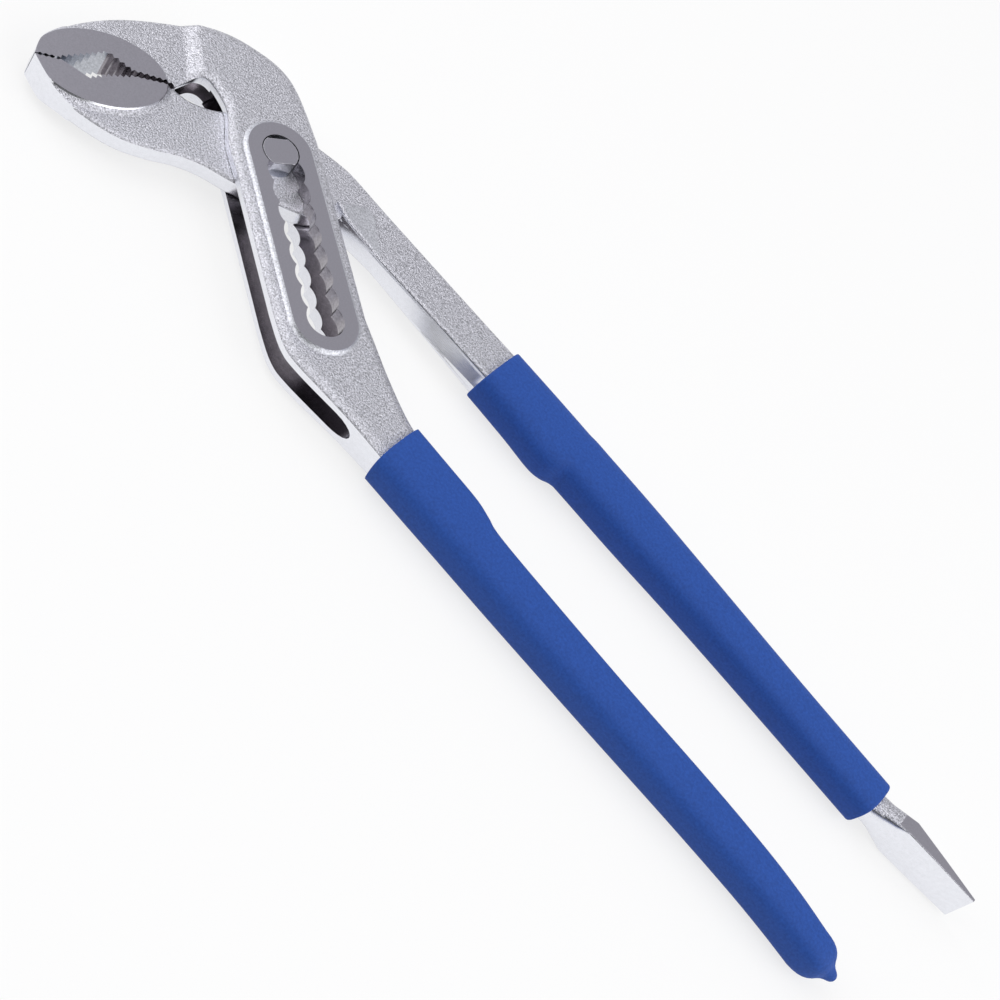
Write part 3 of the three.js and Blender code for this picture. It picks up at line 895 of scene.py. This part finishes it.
def socket_in(tree, name, value):
    """Adds a number input to a node group."""
    made = tree.interface.new_socket(name=name, in_out="INPUT", socket_type="NodeSocketFloat")
    made.default_value = value


grain_group = bpy.data.node_groups.new("fine_grain", "ShaderNodeTree")
socket_in(grain_group, "Scale", 2400.0)
socket_in(grain_group, "Contrast", 0.15)
grain_group.interface.new_socket(name="Height", in_out="OUTPUT", socket_type="NodeSocketFloat")
grain_group.interface.new_socket(name="Shade", in_out="OUTPUT", socket_type="NodeSocketFloat")
nodes, links = grain_group.nodes, grain_group.links
group_in = nodes.new("NodeGroupInput")
group_out = nodes.new("NodeGroupOutput")
coordinates = nodes.new("ShaderNodeTexCoord")
noise = nodes.new("ShaderNodeTexNoise")
noise.inputs["Detail"].default_value = NOISE_DETAIL
noise.inputs["Roughness"].default_value = NOISE_ROUGHNESS
spread = nodes.new("ShaderNodeMapRange")
spread.inputs["From Min"].default_value = NOISE_RANGE[0]
spread.inputs["From Max"].default_value = NOISE_RANGE[1]
lowest = nodes.new("ShaderNodeMath")
lowest.operation = "SUBTRACT"
lowest.inputs[0].default_value = 1.0
highest = nodes.new("ShaderNodeMath")
highest.operation = "MULTIPLY_ADD"
highest.inputs[1].default_value = BRIGHT_SHARE
highest.inputs[2].default_value = 1.0
links.new(coordinates.outputs["Object"], noise.inputs["Vector"])
links.new(group_in.outputs["Scale"], noise.inputs["Scale"])
links.new(noise.outputs["Fac"], spread.inputs["Value"])
links.new(group_in.outputs["Contrast"], lowest.inputs[1])
links.new(lowest.outputs[0], spread.inputs["To Min"])
links.new(group_in.outputs["Contrast"], highest.inputs[0])
links.new(highest.outputs[0], spread.inputs["To Max"])
links.new(noise.outputs["Fac"], group_out.inputs["Height"])
links.new(spread.outputs["Result"], group_out.inputs["Shade"])
print("grain group with", len(nodes), "nodes")

# %% [markdown]
# Six finishes make the steel: the blasted skin of the forging, its fillets with a weaker grain, the
# plated sides, the ground faces, a dark steel that is painted shade on walls in the tool's recesses, and
# the broached mouth. The vinyl coat is the seventh.
# They differ only in numbers, so one function builds them all. Metalness and roughness are the same all
# over a surface and go on the shader's own sockets.

# %% Finishes
BUMP_DISTANCE = 0.3 * MM
VINYL_SPECULAR = 0.25


def finish(name, colour, metallic, roughness, scale, contrast, bump):
    """A material whose colour and relief vary with the shared grain."""
    made = bpy.data.materials.new(name)
    made.use_nodes = True
    nodes, links = made.node_tree.nodes, made.node_tree.links
    shader = nodes["Principled BSDF"]
    shader.inputs["Metallic"].default_value = metallic
    shader.inputs["Roughness"].default_value = roughness
    grain = nodes.new("ShaderNodeGroup")
    grain.node_tree = grain_group
    grain.inputs["Scale"].default_value = scale
    grain.inputs["Contrast"].default_value = contrast
    tint = nodes.new("ShaderNodeMix")
    tint.data_type = "RGBA"
    tint.blend_type = "MULTIPLY"
    tint.inputs["Factor"].default_value = 1.0
    tint.inputs[6].default_value = (*colour, 1)
    relief = nodes.new("ShaderNodeBump")
    relief.inputs["Strength"].default_value = bump
    relief.inputs["Distance"].default_value = BUMP_DISTANCE
    links.new(grain.outputs["Shade"], tint.inputs[7])
    links.new(tint.outputs[2], shader.inputs["Base Color"])
    links.new(grain.outputs["Height"], relief.inputs["Height"])
    links.new(relief.outputs["Normal"], shader.inputs["Normal"])
    return made


# Each call: name, colour, metalness, roughness, grain scale, grain contrast, bump strength
blasted = finish("blasted_zinc", (0.74, 0.74, 0.80), 1.0, 0.34, 2300.0, 0.6, 1.0)
filled = finish("fillet_zinc", (0.72, 0.73, 0.78), 1.0, 0.46, 2300.0, 0.4, 0.45)
plated = finish("plated_side", (0.86, 0.87, 0.92), 1.0, 0.26, 900.0, 0.04, 0.03)
ground = finish("ground_steel", (0.43, 0.42, 0.47), 1.0, 0.3, 3000.0, 0.12, 0.03)
# Painted shade: a dark copy of the steel, put on walls that lie in shade inside the tool.
painted_shade = finish("painted_shade_steel", (0.40, 0.38, 0.41), 1.0, 0.2, 1500.0, 0.25, 0.05)
broached = finish("broached_steel", (0.60, 0.62, 0.67), 1.0, 0.18, 1500.0, 0.25, 0.05)
vinyl = finish("dipped_vinyl", (0.022, 0.083, 0.37), 0.0, 0.65, 1500.0, 0.2, 0.15)
vinyl.node_tree.nodes["Principled BSDF"].inputs["Specular IOR Level"].default_value = VINYL_SPECULAR
STEEL = [blasted, filled, plated, ground, painted_shade, broached]
print("finishes:", [m.name for m in (*STEEL, vinyl)])

# %% [markdown]
# Which finish a steel face has follows from how it was worked: dies and blasting made the flat skin,
# grinding the raised faces. Walls in shade, inside the room, the throat, the front plate's slot and the
# narrow bite, get painted shade. Faces could be picked by hand, but a change of shape would lose the
# picks, so small tests on a face's place and direction find them each time.

# %% Tests for the worked places
NEAR = 0.02 * MM
GROUND_LEVELS = (PAD_HIGH - MIDDLE, LENS_TOP)
GROUND_TILT = 0.98
UPRIGHT_TILT = 0.55
SLOT_ROOM = (-6, 54)
SLOT_ROOM_HALF = 5.2
SLOT_SHADE_START = -3
LENS_END = -25
MOUTH_ROOM = (-58.9, -24.5)
MOUTH_LIP = -54
MOUTH_HALF = 6
LIP_HALF = 0.6
MOUTH_BRIGHT_END = -41
STOP_MARGIN = 0.5
STOP_TOP_START = 10
STOP_TOP_TILTS = (0.975, 0.995)
ROOM_MARGIN = 0.1
THROAT_MARGIN = 0.05 * MM
BLADE_FLAT_START = 222 * MM
BLADE_FLAT_TILT = 0.8


def along_slot(point):
    """How far along the slot a place is, in millimetres."""
    return point.xy.dot(SLOT_DIRECTION) / MM


def in_slot(centre):
    """Whether a place is within the slot's outline."""
    return SLOT_ROOM[0] < along_slot(centre) < SLOT_ROOM[1] and abs(across_slot(centre)) < SLOT_ROOM_HALF


def in_fillet(centre, upright):
    """Whether a face of the slotted arm rises from the skin to a pad or to the lens."""
    level = abs(centre.z - MIDDLE)
    at_pad = JOINT_THICKNESS / 2 + NEAR < level and not in_slot(centre)
    at_lens = not upright and along_bite(centre) < LENS_END and JAW_THICKNESS / 2 + NEAR < level
    return at_pad or at_lens


def on_stop(centre, normal):
    """Whether a face is the sloping top of the stop."""
    beside = across_slot(centre) > STOP_NEAR - STOP_MARGIN and along_slot(centre) > STOP_TOP_START
    tilted = STOP_TOP_TILTS[0] < abs(normal.z) < STOP_TOP_TILTS[1]
    return beside and centre.x < STOP_END_X * MM and tilted


def in_box(centre, normal, upright):
    """Whether a face belongs to the room between the plates or to the hollow of the throat."""
    level = abs(centre.z - MIDDLE)
    plan = centre.xy
    from_cutter = plan - BOX_CUTTER_CENTRE
    in_top = plan.length < (BOX_TOP_RADIUS + ROOM_MARGIN) * MM
    in_end = from_cutter.length < (BOX_CUTTER_RADIUS + ROOM_MARGIN) * MM and plan.x > 0
    faces_in = not upright or from_cutter.dot(normal.xy) < 0
    in_room = level < BOX_HALF_GAP + NEAR and (in_top or in_end) and faces_in
    by_throat = (plan - THROAT_CENTRE).length < THROAT_RADIUS + THROAT_MARGIN
    return in_room or (level < THROAT_HALF_GAP + NEAR and by_throat)


def in_mouth(centre):
    """Whether a place is within the toothed mouth or on the bite beside it."""
    along = along_bite(centre)
    above = (centre.xy.dot(left_of(BITE_DIRECTION)) - BITE_OFFSET) / MM
    half = MOUTH_HALF if along > MOUTH_LIP else LIP_HALF
    return MOUTH_ROOM[0] < along < MOUTH_ROOM[1] and abs(above) < half


print("ground levels:", [round(level / MM, 2) for level in GROUND_LEVELS], "mm from the middle")

# %% [markdown]
# The tests are asked in a fixed order and the first that holds decides, so a ground face stays ground
# even where another rule fits it too. Smooth shading with sharp edges above an angle, and weighted
# normals, keep flat faces flat beside their rounds.

# %% Sort the faces by finish
SHARP_ANGLE = math.radians(35)


def finish_of(centre, normal, boxed):
    """The finish of a steel face, from its place and the way it looks."""
    level = abs(centre.z - MIDDLE)
    upright = abs(normal.z) < UPRIGHT_TILT
    if abs(normal.z) > GROUND_TILT and any(abs(level - g) < NEAR for g in GROUND_LEVELS):
        return ground
    if boxed and in_fillet(centre, upright) or on_stop(centre, normal):
        return filled
    # Painted shade: the room between the plates and the throat's hollow are darkened where shade falls.
    if boxed and in_box(centre, normal, upright):
        return painted_shade
    # Painted shade and painted reflection: only the front plate's slot walls are darkened; the back
    # plate's stay light.
    in_front_plate = centre.z > MIDDLE + BOX_HALF_GAP
    if upright and in_front_plate and in_slot(centre) and along_slot(centre) > SLOT_SHADE_START:
        return painted_shade
    # Painted shade: the mouth's walls past MOUTH_BRIGHT_END, where the jaws nearly close, are darkened.
    if upright and in_mouth(centre):
        return broached if along_bite(centre) < MOUTH_BRIGHT_END else painted_shade
    if centre.x > BLADE_FLAT_START and normal.z > BLADE_FLAT_TILT:
        return ground
    return plated if upright else blasted


def dress(made, boxed):
    """Gives each face of a forging its finish, from the way it looks and its level."""
    mesh = made.data
    mesh.materials.clear()
    for material in STEEL:
        mesh.materials.append(material)
    for face in mesh.polygons:
        face.material_index = STEEL.index(finish_of(face.center, face.normal, boxed))
    mesh.polygons.foreach_set("use_smooth", [True] * len(mesh.polygons))
    mesh.set_sharp_from_angle(angle=SHARP_ANGLE)
    weighted = made.modifiers.new("flat faces stay flat", "WEIGHTED_NORMAL")
    weighted.keep_sharp = True
    used = [face.material_index for face in mesh.polygons]
    print(made.name, {material.name: used.count(i) for i, material in enumerate(STEEL)})


for made in (slotted_arm, inner_arm, pin):
    dress(made, made == slotted_arm)
for made in (slotted_grip, inner_grip):
    made.data.materials.append(vinyl)

# %% [markdown]
# A dressed piece has to move with the solid it stands for.

# %% Ride on the bodies
for made, body, node, slot in (
    (slotted_arm, "slotted_arm", "slotted_arm", "forged_steel"),
    (slotted_grip, "slotted_arm", "slotted_arm_grip", "blue_dip"),
    (pin, "pivot_pin", "pivot_pin", "pin_steel"),
    (inner_arm, "inner_arm", "inner_arm", "forged_steel"),
    (inner_grip, "inner_arm", "inner_arm_grip", "blue_dip"),
):
    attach(made, body)
    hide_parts(node)
    print(made.name, "rides on", body, "for", node)

# %% [markdown]
# The tool lies on white paper. More light could make the floor white, but it would wash out the steel
# too, so the floor's material mixes in plain white for the rays that only look at it. The share of
# white is below one, and the rest of the floor still takes the tool's shadow.

# %% Floor
FLOOR_SIZE = 20.0
FLOOR_GAP = 0.2 * MM
PAPER_LEVEL = 0.9
WHITE_SHARE = 0.75

bm = bmesh.new()
bmesh.ops.create_grid(bm, x_segments=1, y_segments=1, size=FLOOR_SIZE)
floor = piece(bm, "floor")
floor.location.z = PAD_LOW - FLOOR_GAP
paper = bpy.data.materials.new("floor_paper")
paper.use_nodes = True
nodes, links = paper.node_tree.nodes, paper.node_tree.links
shader = nodes["Principled BSDF"]
shader.inputs["Base Color"].default_value = (PAPER_LEVEL, PAPER_LEVEL, PAPER_LEVEL, 1)
shader.inputs["Roughness"].default_value = 0.9
floor.data.materials.append(paper)
path = nodes.new("ShaderNodeLightPath")
seen = nodes.new("ShaderNodeMath")
seen.operation = "MAXIMUM"
seen_through = nodes.new("ShaderNodeMath")
seen_through.operation = "MAXIMUM"
white_share = nodes.new("ShaderNodeMath")
white_share.operation = "MULTIPLY"
white_share.inputs[1].default_value = WHITE_SHARE
white = nodes.new("ShaderNodeEmission")
white.inputs["Strength"].default_value = 1.0
blend = nodes.new("ShaderNodeMixShader")
links.new(path.outputs["Is Camera Ray"], seen.inputs[0])
links.new(path.outputs["Is Glossy Ray"], seen.inputs[1])
links.new(seen.outputs[0], seen_through.inputs[0])
links.new(path.outputs["Is Transmission Ray"], seen_through.inputs[1])
links.new(seen_through.outputs[0], white_share.inputs[0])
links.new(white_share.outputs[0], blend.inputs["Fac"])
links.new(shader.outputs["BSDF"], blend.inputs[1])
links.new(white.outputs["Emission"], blend.inputs[2])
links.new(blend.outputs["Shader"], nodes["Material Output"].inputs["Surface"])
print("floor", round(floor.location.z / MM, 2), "mm high")

# %% [markdown]
# Bare steel shows the room around it. An even white world would make it look like chalk, so the sky is
# pale beyond the tool and dark behind the camera, and rounded steel edges catch a dark line. A color
# ramp over one direction is enough for that.

# %% Sky
SKY_DIRECTION = (0, 0.8, 0.6)
SKY_BLUE = 1.03
# Each row: place on the ramp, level
SKY = [(0.3, 0.08), (0.55, 0.2), (0.78, 0.62), (0.95, 0.6)]

world = bpy.data.worlds.new("studio")
world.use_nodes = True
bpy.context.scene.world = world
nodes, links = world.node_tree.nodes, world.node_tree.links
background = nodes["Background"]
direction = nodes.new("ShaderNodeTexCoord")
towards_light = nodes.new("ShaderNodeVectorMath")
towards_light.operation = "DOT_PRODUCT"
towards_light.inputs[1].default_value = SKY_DIRECTION
from_zero = nodes.new("ShaderNodeMapRange")
from_zero.inputs["From Min"].default_value = -1.0
sky = nodes.new("ShaderNodeValToRGB")
for step, (position, level) in enumerate(SKY):
    if step < 2:
        stop = sky.color_ramp.elements[step]
        stop.position = position
    else:
        stop = sky.color_ramp.elements.new(position)
    stop.color = (level, level, level * SKY_BLUE, 1)
links.new(direction.outputs["Generated"], towards_light.inputs[0])
links.new(towards_light.outputs["Value"], from_zero.inputs["Value"])
links.new(from_zero.outputs["Result"], sky.inputs["Fac"])
links.new(sky.outputs["Color"], background.inputs["Color"])
print("sky of", len(sky.color_ramp.elements), "levels")

# %% [markdown]
# A broad soft lamp stands at each end of the tool, as softboxes do in a studio. Small strong lamps would
# burn out the ramp and the crown. The Standard view shows colours as they are written.

# %% Lamps and view
LAMP_POWER = 13
LAMP_SIZE = 1.5
AIM = Vector((0.1, 0, 0))
LAMP_PLACES = {"left": Vector((-1.0, -0.15, 0.85)), "right": Vector((1.2, -0.15, 0.85))}

for side, spot in LAMP_PLACES.items():
    lamp_data = bpy.data.lights.new("softbox_" + side, "AREA")
    lamp_data.energy = LAMP_POWER
    lamp_data.size = LAMP_SIZE
    lamp = bpy.data.objects.new("softbox_" + side, lamp_data)
    lamp.location = spot
    lamp.rotation_euler = (AIM - spot).to_track_quat("-Z", "Y").to_euler()
    bpy.context.scene.collection.objects.link(lamp)
bpy.context.scene.view_settings.view_transform = "Standard"
print(len(LAMP_PLACES), "lamps of", LAMP_POWER, "W")
